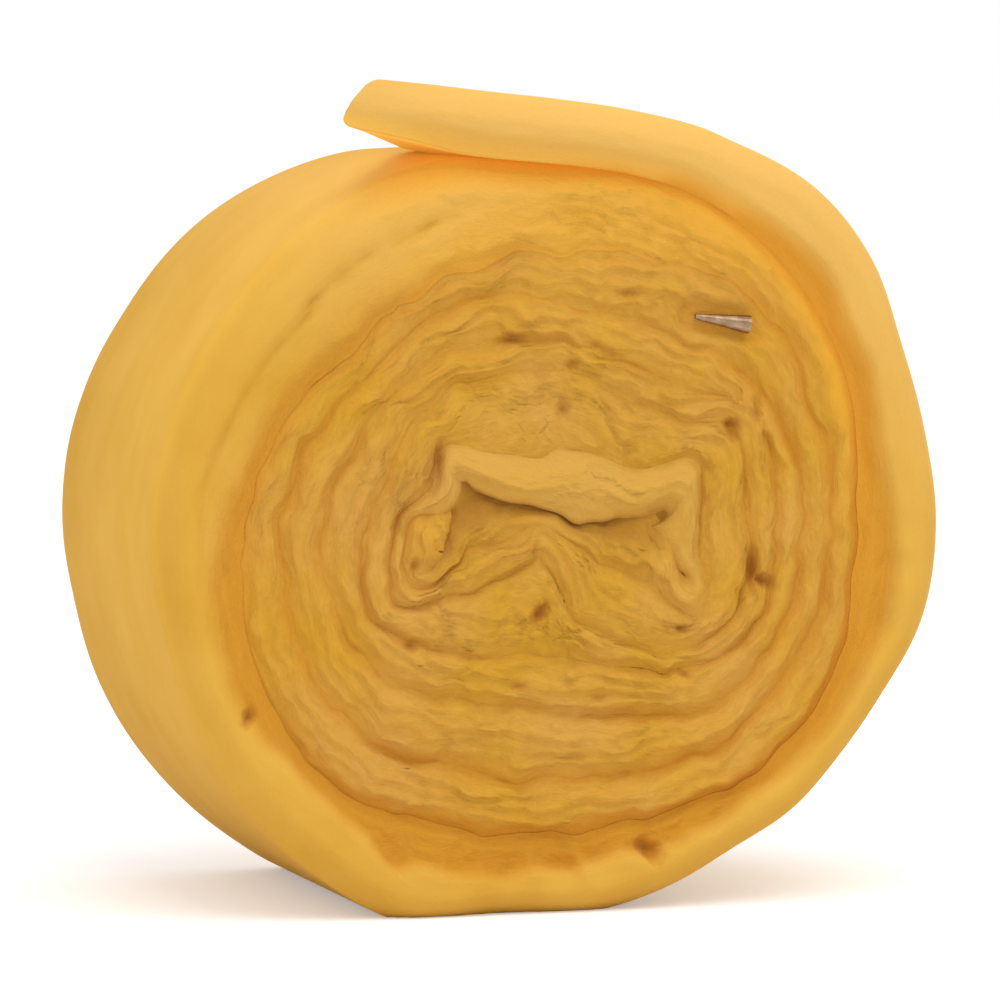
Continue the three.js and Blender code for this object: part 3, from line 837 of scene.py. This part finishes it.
behind = np.where(on_far, far_edge[:, None] - level, level - near_edge[:, None])
second = smooth(turn, *SECOND_STARTS) * (1 - smooth(turn, *SECOND_ENDS))
second = second * from_table(SECOND_GLOW, turn % 360)
# painted shade in the cracks and valleys between layers, and along each face where turns meet
crease_shade = np.maximum(CRACK_DARK * cracks, ply_share * valley) * rough * (1 - lip) * ruffled
seam_shade = on(on_near, np.exp(-((from_face / SEAM) ** 2)) * inner_turns)
seam_shade = seam_shade * (0.7 + 0.5 * waves(far_along / SEAM_LENGTH, 0 * far_along, 13)).clip(0, 1)
seam_shade = seam_shade * (1 - second * (across < batt / 2))

crevice_shade = smooth(behind, *VALLEY_DARK) * np.where(on_near | on_far, 1.0, FACE_DARK)
crevice_shade = np.minimum(crevice_shade + CREASE_DARK * crease_shade + SEAM_DARK * seam_shade, MOST_DARK)
pale_step = past_rim(across - SKIN_RUNS_ON * slit_part)
skin = outer_turn * np.where(on_wall, 1.0, 1.0 - pale_step) * (1 - SLIT_DARK * slit * on_near)

flap_part = 1 - smooth(turn, *FLAP_OVER)
below_part = smooth(turn, *BELOW_STARTS) * (1 - smooth(turn, *BELOW_ENDS))
shadowed = below_part * (1 - smooth(across, *BELOW_SHADE))
shadowed = on(on_near, shadowed + FLAP_SHADED * flap_part * smooth(share_across, *FLAP_SHADE))
skin = skin * (1 - SHADOWED * shadowed)
crevice_shade = crevice_shade * (1 - skin)
# painted glow: a warm colour in the recess, the slit, the gap under the loose end and on the second turn, for
# light that comes through the wool
glow = np.maximum(np.maximum(in_recess * pale_step, slit), shadowed)
glow = on(on_near, np.maximum(glow, second * (1 - smooth(across, *SECOND_SHADE))))
print("share of points on the skin:", round(float((skin > 0.5).mean()), 2))

# %% [markdown]
# Glass wool lets light through, so its gaps are warm and not black. That light is painted as
# a weak glow: in the gap under the loose end, deep in the valleys, and in the narrow gaps of
# the folded middle. Only the hollows of that middle get a dark painted shade.

# %% Light in the gaps
FLAP_LIT, BELOW_LIT, GAP_LIT = 0.17, 0.27, 0.26       # under the loose end, below it, and inside
VALLEY_LIT, DEEP_LIT = 0.05, 0.3
# share of that light in deep valleys, by sweep
DEEP_SHARE = [[100, 0.4], [150, 0.1], [180, 0.0], [230, 0.05], [270, 0.4], [380, 0.4], [440, 1.0]]
# X, Z, half breadth and half height of hollows given painted shade, and of gaps that the wool's glow softens
SHADED_HOLLOWS = [[-41.5, 146.5, 3.0, 6.0], [36.5, 131.5, 5.0, 4.0], [35.0, 124.0, 3.5, 6.0]]
SOFT_GAPS = [[-33.0, 139.0, 6.0, 6.0], [-36.5, 128.0, 4.0, 9.0], [36.5, 131.5, 5.0, 5.0],
             [43.5, 113.0, 3.0, 5.0]]
KNOB_PALE, KNOB = 0.55, (26, 10)      # the curled inner end is paler, between these from its tip
TOP_PALE, TOP_STARTS, TOP_ENDS = 0.8, (300, 345), (385, 425)      # and so is the outermost turn here
FLAP_PALE = (30, 110)


def spot(x, z, breadth, height):
    """1 in the middle of a soft oval spot, falling to 0 around it."""
    return np.exp(-(((xz[..., 0] - x) / breadth) ** 2 + ((xz[..., 1] - z) / height) ** 2))


toward_gap = np.where(on_inner, 1.0, np.where(on_wall, 0.0, smooth(share_across, 0.6, 1.0)))
under_gap = np.where(on_wall, 0.45, 1 - smooth(across, 2.0, 12.0)) * ~on_inner
lit = FLAP_LIT * flap_part * toward_gap + BELOW_LIT * below_part * under_gap
in_gap = flap_part * on_inner + 0.4 * below_part * on_wall
lit = lit + GAP_LIT * smooth(from_end, 1.0, 5.0) * in_gap

# painted shade in the hollow under the lip and in the listed hollows
hollow_shade = mouth * smooth(share_across, 0.15, 0.8) + lip * smooth(share_across, 0.93, 1.0)
hollow_shade = hollow_shade * ~on_wall
for x, z, breadth, height in SHADED_HOLLOWS:
    hollow_shade = np.maximum(hollow_shade, 0.8 * spot(x, z, breadth, height))
hollow_shade = hollow_shade * smooth(-level, 20, 60)

deep = smooth(behind, 4.0, 11.0) * from_table(DEEP_SHARE, turn) * (1 - mouth) * (1 - lip)
deep = on(~on_far, deep)
for x, z, breadth, height in SOFT_GAPS:
    softened = spot(x, z, breadth, height) * smooth(behind, 2.0, 7.0)
    deep = np.maximum(deep, on(~on_far, softened))
lit = np.maximum(lit, VALLEY_LIT * crevice_shade + DEEP_LIT * deep) * smooth(-level, -60, 40)

knob = KNOB_PALE * smooth(far_along, strip_length - KNOB[0], strip_length - KNOB[1])
top_part = TOP_PALE * smooth(turn, *TOP_STARTS) * (1 - smooth(turn, *TOP_ENDS))
pale = 1 - smooth(turn, *FLAP_PALE) + knob + top_part
print("strongest glow:", round(float(lit.max()), 2), " hollows:", int((hollow_shade > 0.5).sum()), "points")

# %% [markdown]
# ## Mesh
#
# Now the points are joined. Every two neighbouring loops are bridged by a ring of four-sided
# faces, and one face closes each end. All faces are shaded smooth, but the corners of the near
# edge stay crisp where two turns touch, because smooth shading would draw a thin dark line
# between them.

# %% Mesh of the strip
MM = 0.001                # Blender's unit is the metre
FLOOR_GAP = 0.05          # the lowest points stay this far above the floor, mm
INNER_SHARP_FROM, OUTER_SHARP_FROM = 20, 420     # sweep from which each corner is crisp

xz[..., 1] = np.maximum(xz[..., 1], FLOOR_GAP)
verts = np.stack([xz[..., 0], level, xz[..., 1]], -1).reshape(-1, 3) * MM
next_column = (column + 1) % LOOP
base = (np.arange(SECTIONS - 1) * LOOP)[:, None]
quads = np.stack([base + column, base + next_column, base + LOOP + next_column,
                  base + LOOP + column], -1).reshape(-1, 4)
faces = quads.tolist() + [column.tolist(), (column + (SECTIONS - 1) * LOOP).tolist()]

mesh = bpy.data.meshes.new("wool_strip")
mesh.from_pydata(verts.tolist(), [], faces)
shell = bmesh.new()
shell.from_mesh(mesh)
bmesh.ops.recalc_face_normals(shell, faces=shell.faces)
shell.to_mesh(mesh)
shell.free()
mesh.polygons.foreach_set("use_smooth", [True] * len(mesh.polygons))

ends = np.zeros(2 * len(mesh.edges), int)
mesh.edges.foreach_get("vertices", ends)
ends = ends.reshape(-1, 2)
edge_column, edge_turned = ends % LOOP, turned[ends[:, 0] // LOOP]
at_inner = (edge_column == NEAR_POINTS - 1).all(1) & (edge_turned > INNER_SHARP_FROM)
at_outer = (edge_column == 0).all(1) & (edge_turned > OUTER_SHARP_FROM)
mesh.edges.foreach_set("use_edge_sharp", at_inner | at_outer)

strip = bpy.data.objects.new("wool_strip", mesh)
bpy.context.scene.collection.objects.link(strip)
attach(strip, "root")
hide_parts("wound_batt")
print("faces:", len(mesh.polygons), " crisp edges:", int((at_inner | at_outer).sum()))

# %% [markdown]
# The fibres have to follow the strip, so each point also gets its own place on the strip:
# how far along it lies, and how far round the loop. The second one is measured from the
# middle of the near edge, and it jumps on the inner face, where nobody sees it.

# %% Attributes
CLOSING_HOP = 2.0         # about the distance from a loop's last point back to its first, mm

inner_middle = NEAR_POINTS + len(INNER_SHARES) // 2
hops = np.linalg.norm(np.diff(np.stack([across, level], -1), axis=1), axis=-1)
profile = np.concatenate([np.zeros((SECTIONS, 1)), np.cumsum(hops, 1)], 1)
girth = profile[:, -1:]
profile = profile - profile[:, NEAR_POINTS // 2][:, None]
profile = np.where(column > inner_middle, profile - girth - CLOSING_HOP, profile)

# the first attribute holds the place on the strip and the painted shade of the hollows; the second holds the
# painted shade of the valleys, the skin and the painted glow
ATTRIBUTES = {"grain_and_shade": (far_along * MM, profile * MM, hollow_shade), "shade_skin_glow": (crevice_shade, skin, glow),
              "light": (lit, pale, lip)}
for name, values in ATTRIBUTES.items():
    data = np.stack(np.broadcast_arrays(*values), -1).astype(np.float32)
    mesh.attributes.new(name, "FLOAT_VECTOR", "POINT").data.foreach_set("vector", data.ravel())
print("attributes:", ", ".join(ATTRIBUTES))

# %% [markdown]
# ## Helpers for materials
#
# A material is a tree of nodes. Linking each node by hand makes long and unreadable code, so
# one small class wraps an output socket and lets it be added and multiplied like a number.
# Each such sum adds a Math node. Another class adds any other node, from its type, its
# settings and what goes into its sockets.

# %% Shader maths as Python
def srgb(red, green, blue):
    """A colour as it looks on a screen, 0 to 255, as the linear values that shaders use."""
    linear = [((value / 255 + 0.055) / 1.055) ** 2.4 for value in (red, green, blue)]
    return (*linear, 1.0)


class Wire:
    """An output socket that can be added to, multiplied and so on, like a number."""

    def __init__(self, nodes, socket):
        self.nodes, self.socket = nodes, socket

    def output(self, name):
        """Another output of the same node."""
        return Wire(self.nodes, self.socket.node.outputs[name])

    def maths(self, operation, first, second=0.0, clamp=False):
        settings = {"operation": operation, "use_clamp": clamp}
        return self.nodes.add("ShaderNodeMath", settings, {0: first, 1: second})

    def __add__(self, other):
        return self.maths("ADD", self, other)

    def __radd__(self, other):
        return self.maths("ADD", other, self)

    def __sub__(self, other):
        return self.maths("SUBTRACT", self, other)

    def __rsub__(self, other):
        return self.maths("SUBTRACT", other, self)

    def __mul__(self, other):
        return self.maths("MULTIPLY", self, other)

    def __rmul__(self, other):
        return self.maths("MULTIPLY", other, self)

    def __abs__(self):
        return self.maths("ABSOLUTE", self)

    def larger(self, other):
        return self.maths("MAXIMUM", self, other)

    def clipped(self):
        """The same value, held between 0 and 1."""
        return self.maths("MULTIPLY", self, 1.0, clamp=True)


class Nodes:
    """A node tree, whose nodes are added by one method."""

    def __init__(self, tree):
        self.tree = tree

    def feed(self, socket, value):
        if isinstance(value, Wire):
            self.tree.links.new(value.socket, socket)
        else:
            socket.default_value = value

    def add(self, kind, settings={}, inputs={}, output=0):
        node = self.tree.nodes.new(kind)
        for key, value in settings.items():
            setattr(node, key, value)
        for key, value in inputs.items():
            self.feed(node.inputs[key], value)
        return Wire(self, node.outputs[output])


class Material(Nodes):
    """A new material with the steps that this lesson's materials share."""

    def __init__(self, name):
        self.data = bpy.data.materials.new(name)
        self.data.use_nodes = True
        self.data.cycles.emission_sampling = "NONE"      # a weak glow needs no lamp sampling
        super().__init__(self.data.node_tree)

    def place(self):
        """Place on the object itself, in metres."""
        return self.add("ShaderNodeTexCoord", {}, {}, "Object")

    def mix(self, share, first, second):
        """From the first colour to the second, by a share from 0 to 1."""
        return self.add("ShaderNodeMix", {"data_type": "RGBA"}, {0: share, 6: first, 7: second}, 2)

    def scaled(self, vector, scale):
        return self.add("ShaderNodeVectorMath", {"operation": "MULTIPLY"}, {0: vector, 1: scale})

    def noise(self, where, scale, detail=2.0, roughness=0.5, distortion=0.0, output="Fac"):
        inputs = {"Vector": where, "Scale": scale, "Detail": detail, "Roughness": roughness,
                  "Distortion": distortion}
        return self.add("ShaderNodeTexNoise", {}, inputs, output)

    def oval(self, where, centre, half_sizes, slope=0.0):
        """1 in the middle of an oval spot, falling evenly to 0 at its edge; slope in degrees."""
        inputs = {"Vector": where, "Location": centre, "Scale": half_sizes,
                  "Rotation": (0, -math.radians(slope), 0)}
        inside = self.add("ShaderNodeMapping", {"vector_type": "TEXTURE"}, inputs)
        return self.add("ShaderNodeTexGradient", {"gradient_type": "SPHERICAL"},
                        {"Vector": inside}, "Fac")

    def finish(self, surface):
        """Feeds the sockets of the surface, from a table of values and wires."""
        for name, value in surface.items():
            self.feed(self.tree.nodes["Principled BSDF"].inputs[name], value)
        print(self.data.name + ":", len(self.tree.nodes), "nodes")


print("screen grey 128 is", round(srgb(128, 128, 128)[0], 3), "for a shader")

# %% [markdown]
# ## Wool
#
# Glass wool is a mat of thin glass fibres that a brown binder holds together. From close by
# it shows fibres, tufts and cracks that run with the strip. An image could give those, but it
# would repeat, and it would be tied to one size. So they are mixed from noise, and the noise
# that has to follow the strip reads the strip's own attribute instead of its place in space.
# The other attributes come in here too, and their names end in _w.

# %% Fibres, tufts and cracks
wool = Material("glass_wool")


def attribute(name):
    return wool.add("ShaderNodeAttribute", {"attribute_name": name}, {}, "Vector")


def parts(vector):
    split = wool.add("ShaderNodeSeparateXYZ", {}, {0: vector})
    return [split.output(index) for index in range(3)]


def strip_noise(along_scale, around_scale, roughness=0.6, distortion=0.8):
    """Noise that runs with the strip; a larger scale is a finer pattern."""
    where = wool.scaled(grain_and_shade_at, (along_scale, around_scale, 0))
    return wool.noise(where, 1.0, 3.0, roughness, distortion)


place = wool.place()
grain_and_shade_at = attribute("grain_and_shade")
hollow_shade_w = parts(grain_and_shade_at)[2]
crevice_shade_w, skin_w, glow_w = parts(attribute("shade_skin_glow"))
lit_w, pale_w, lip_w = parts(attribute("light"))

tufts = strip_noise(180, 340)
streaks = strip_noise(120, 430, 0.55, 0.9)
strands = strip_noise(240, 900)
fibres = strip_noise(450, 2200)
bands = strip_noise(14, 42)
fluff = wool.noise(place, 230.0, 3.0, 0.6)
clouds = wool.noise(place, 26.0, 3.0)
specks = wool.noise(place, 900.0)
parting = 1 - (abs(streaks - 0.5) * 9.0).clipped()
fine_parting = 1 - (abs(strands - 0.5) * 8.0).clipped()
print("nodes for the patterns:", len(wool.tree.nodes))

# %% [markdown]
# The colour goes in three steps. The skin is pale and cloudy, and paler still where it is
# lifted off. The inner wool goes from its crowns to valleys darkened by painted shade, and
# that shade is browner in the core of the roll. Then the painted warm glow of the recess and
# around the lifted end, the paler parts and the painted shade in the hollows of the folded
# middle are laid over that, and the two are joined by the skin's own share.

# %% Colour of the wool
SKIN, SKIN_LIGHT = srgb(218, 163, 56), srgb(228, 177, 74)
SKIN_PALE, SKIN_FUZZ = srgb(237, 187, 101), srgb(204, 148, 48)
CROWN, CROWN_DULL, LIP_TONE = srgb(216, 162, 48), srgb(219, 164, 74), srgb(214, 166, 84)
# painted shade: the colours of the valleys, browner in the core
VALLEY_SHADE, CORE_VALLEY_SHADE = srgb(199, 133, 35), srgb(184, 128, 41)
# painted warm glow, paler inner wool and the painted shade of the hollows, in that order
WARM_GLOW, INNER_PALE, HOLLOW_SHADE = srgb(214, 150, 44), srgb(242, 180, 66), srgb(168, 114, 42)
CORE_PLACE, CORE_SIZE = (0, -0.07, 0.126), (0.1, 0.2, 0.085)      # metres

cloudy = (clouds * 1.8 + bands * 1.1 - 0.95).clipped()
fuzz = ((0.5 - fibres) * 1.6 + (0.5 - strands) * 0.9).clipped()
skin_colour = wool.mix(cloudy, SKIN, SKIN_LIGHT)
skin_colour = wool.mix(pale_w * 0.75, skin_colour, SKIN_PALE)
skin_colour = wool.mix(fuzz * 0.3, skin_colour, SKIN_FUZZ)

texture = parting * 0.12 + fine_parting * 0.07
texture = texture + (0.5 - fibres) * 0.25 + (0.5 - tufts) * 0.4 + (0.5 - fluff) * 0.4
texture = texture * (1 - lip_w * 0.2)
# painted shade of the valleys, with the uneven tone of the fibres
dark = (crevice_shade_w * 0.85 + texture - lip_w * 0.15).clipped()
core_w = wool.oval(place, CORE_PLACE, CORE_SIZE)
crown_colour = wool.mix((clouds * 3.0 - 1.0).clipped(), CROWN, CROWN_DULL)
crown_colour = wool.mix(lip_w * 0.5, crown_colour, LIP_TONE)
valley_shade_colour = wool.mix((core_w * 2.0).clipped(), VALLEY_SHADE, CORE_VALLEY_SHADE)
inner_colour = wool.mix(dark, crown_colour, valley_shade_colour)

# painted shade in the hollows of the folded middle
in_hollow_shade = (hollow_shade_w * (1.0 + (0.5 - tufts) * 1.2) * 0.75).clipped()
# painted warm glow over the inner wool
inner_colour = wool.mix(glow_w * 0.7, inner_colour, WARM_GLOW)
inner_colour = wool.mix(pale_w * 0.65 * (1 - glow_w * 0.6), inner_colour, INNER_PALE)
inner_colour = wool.mix(in_hollow_shade, inner_colour, HOLLOW_SHADE)
colour = wool.mix(skin_w, inner_colour, skin_colour)
print("nodes with the colours:", len(wool.tree.nodes))

# %% [markdown]
# The pits are painted brown, as painted shade at their bottom. Each spot of shade is an oval at
# its pit, and its outline is frayed by shifting the place that it reads with a fine noise.

# %% Painted shade in the pits
# brown colour of the painted shade in the pits
PIT_SHADE_COLOUR = srgb(166, 100, 32)
PIT_SHADE_LEVEL, PIT_SHADE_REACH = -0.0705, 0.016     # Y of the painted shade spots and half their extent in Y, metres
PIT_SHADE_SPREAD = 0.0019     # metres of painted shade for each millimetre of pit
PIT_SHADE_STRENGTH = 1.15
FRAYED = 0.003            # shift of the stains' outline, metres

shift = wool.noise(place, 420.0, output="Color")
frayed = wool.add("ShaderNodeVectorMath", {"operation": "MULTIPLY_ADD"},
                  {0: shift, 1: (FRAYED, FRAYED, FRAYED), 2: place})
pit_shade_w = 0.0
for x, z, length, breadth, slope, depth, pit_shade in PITS:
    if pit_shade > 0:
        # half of FRAYED makes up for the mean of the shift
        centre = (x * MM + FRAYED / 2, PIT_SHADE_LEVEL, z * MM + FRAYED / 2)
        half_sizes = (length * PIT_SHADE_SPREAD, PIT_SHADE_REACH, breadth * PIT_SHADE_SPREAD)
        shaded_oval = wool.oval(frayed, centre, half_sizes, slope) * (pit_shade * PIT_SHADE_STRENGTH)
        pit_shade_w = shaded_oval.larger(pit_shade_w)
colour = wool.mix(pit_shade_w.clipped(), colour, PIT_SHADE_COLOUR)
print("stained pits:", sum(row[-1] > 0 for row in PITS))

# %% [markdown]
# The fibres are far too fine to be modelled, so a bump gives them their relief, strong on the
# torn inner wool and weak on the skin. The light in the gaps goes out as a weak emission. Real
# wool would scatter light under its surface, which costs much more time and can't be baked.

# %% Relief and finish of the wool
SKIN_ROUGH = 0.26         # share of the relief that the skin keeps
GLOW, BLACK = srgb(214, 172, 62), (0, 0, 0, 1)

rough_w = SKIN_ROUGH + (1 - SKIN_ROUGH) * (1 - skin_w)
torn = 0.22 * fibres + 0.5 * tufts + 0.45 * fluff - 0.16 * parting - 0.08 * fine_parting
height = specks * 0.1 + 0.25 * clouds + rough_w * torn
bump = wool.add("ShaderNodeBump", {}, {"Strength": 0.5, "Distance": 0.0012, "Height": height})
wool.finish({"Base Color": colour, "Roughness": 0.9, "Specular IOR Level": 0.2, "Normal": bump,
             "Emission Color": wool.mix(lit_w, BLACK, GLOW), "Emission Strength": 1.0})
mesh.materials.append(wool.data)

# %% [markdown]
# ## Metal tip
#
# The tip is a small piece of bright metal with scratches along it and smudges on it. Its base
# colour is painted warm and darker, as a painted reflection of the yellow wool around it. Its
# shape comes with the imported model and is kept, so it only gets a better material: a fine
# noise that is drawn out along the tip for the scratches, and a coarser one for the smudges.

# %% Metal tip
# painted reflection: both colours are warm and darker, for the yellow wool mirrored in the tip
METAL_DULL, METAL_BRIGHT = srgb(134, 108, 82), srgb(176, 148, 120)
SCRATCH_SCALE = (300.0, 2500.0, 2500.0)

metal = Material("bright_metal")
tip_place = metal.place()
scratches = metal.noise(metal.scaled(tip_place, SCRATCH_SCALE), 1.0)
smudges = metal.noise(tip_place, 450.0)
metal_and_reflection_colour = metal.mix((smudges * 2.0 - 0.5).clipped(), METAL_DULL, METAL_BRIGHT)
metal.finish({"Base Color": metal_and_reflection_colour, "Metallic": 1.0, "Roughness": 0.28 + scratches * 0.25})
tip = bpy.data.objects["metal_tip"]
tip.data.materials.clear()
tip.data.materials.append(metal.data)

# %% [markdown]
# ## Light and background
#
# The roll stands in soft white light from all sides, with one large lamp above it that gives
# the shadow under it. The background has to look quite white, but light of that strength from
# everywhere would wash the shadows out. So it is a little weaker as a light than it looks.

# %% Light and background
SKY_LIGHT, SKY_LOOKS = 0.82, 1.0      # strength as a light, and as it is seen
LAMP_PLACE, LAMP_AIM = Vector((0.1, -0.9, 2.0)), Vector((0, 0, 0.1))
LAMP_WATTS, LAMP_SIZE = 18, 1.6

world = bpy.data.worlds.new("studio")
world.use_nodes = True
sky = Nodes(world.node_tree)
ray = sky.add("ShaderNodeLightPath", {}, {}, "Is Camera Ray")
seen = ray.larger(ray.output("Is Glossy Ray")).larger(ray.output("Is Transmission Ray"))
background = world.node_tree.nodes["Background"]
sky.feed(background.inputs["Color"], (1, 1, 1, 1))
sky.feed(background.inputs["Strength"], seen * (SKY_LOOKS - SKY_LIGHT) + SKY_LIGHT)
bpy.context.scene.world = world

lamp_data = bpy.data.lights.new("key", "AREA")
lamp_data.energy = LAMP_WATTS
lamp_data.size = LAMP_SIZE
lamp = bpy.data.objects.new("key", lamp_data)
lamp.location = LAMP_PLACE
lamp.rotation_euler = turned_towards(LAMP_PLACE, LAMP_AIM)
bpy.context.scene.collection.objects.link(lamp)
bpy.context.scene.view_settings.view_transform = "Standard"
print("lamp:", LAMP_WATTS, "W at", round(LAMP_PLACE.length, 2), "m")

# %% [markdown]
# The floor is a plain sheet of white paper, large enough to have no edge in view. It glows a
# little where it is seen directly or mirrored in the metal, so that it goes over into the
# white background without throwing more light on the roll.

# %% Floor
FLOOR_SIZE = 30           # metres
PAPER = (0.9, 0.9, 0.9, 1)
PAPER_LIFT = (0.3, 0.3, 0.3, 1)       # what the paper's own glow adds where it is seen

bpy.ops.object.select_all(action="DESELECT")
bpy.ops.mesh.primitive_plane_add(size=FLOOR_SIZE, location=(0, 0, 0))
floor = bpy.context.active_object
floor.name = "floor"
paper = Material("paper")
ray = paper.add("ShaderNodeLightPath", {}, {}, "Is Camera Ray")
to_eye = ray.larger(ray.output("Is Glossy Ray"))
paper.finish({"Base Color": PAPER, "Roughness": 1.0, "Specular IOR Level": 0.0,
              "Emission Color": paper.mix(to_eye, BLACK, PAPER_LIFT),
              "Emission Strength": 1.0})
floor.data.materials.append(paper.data)
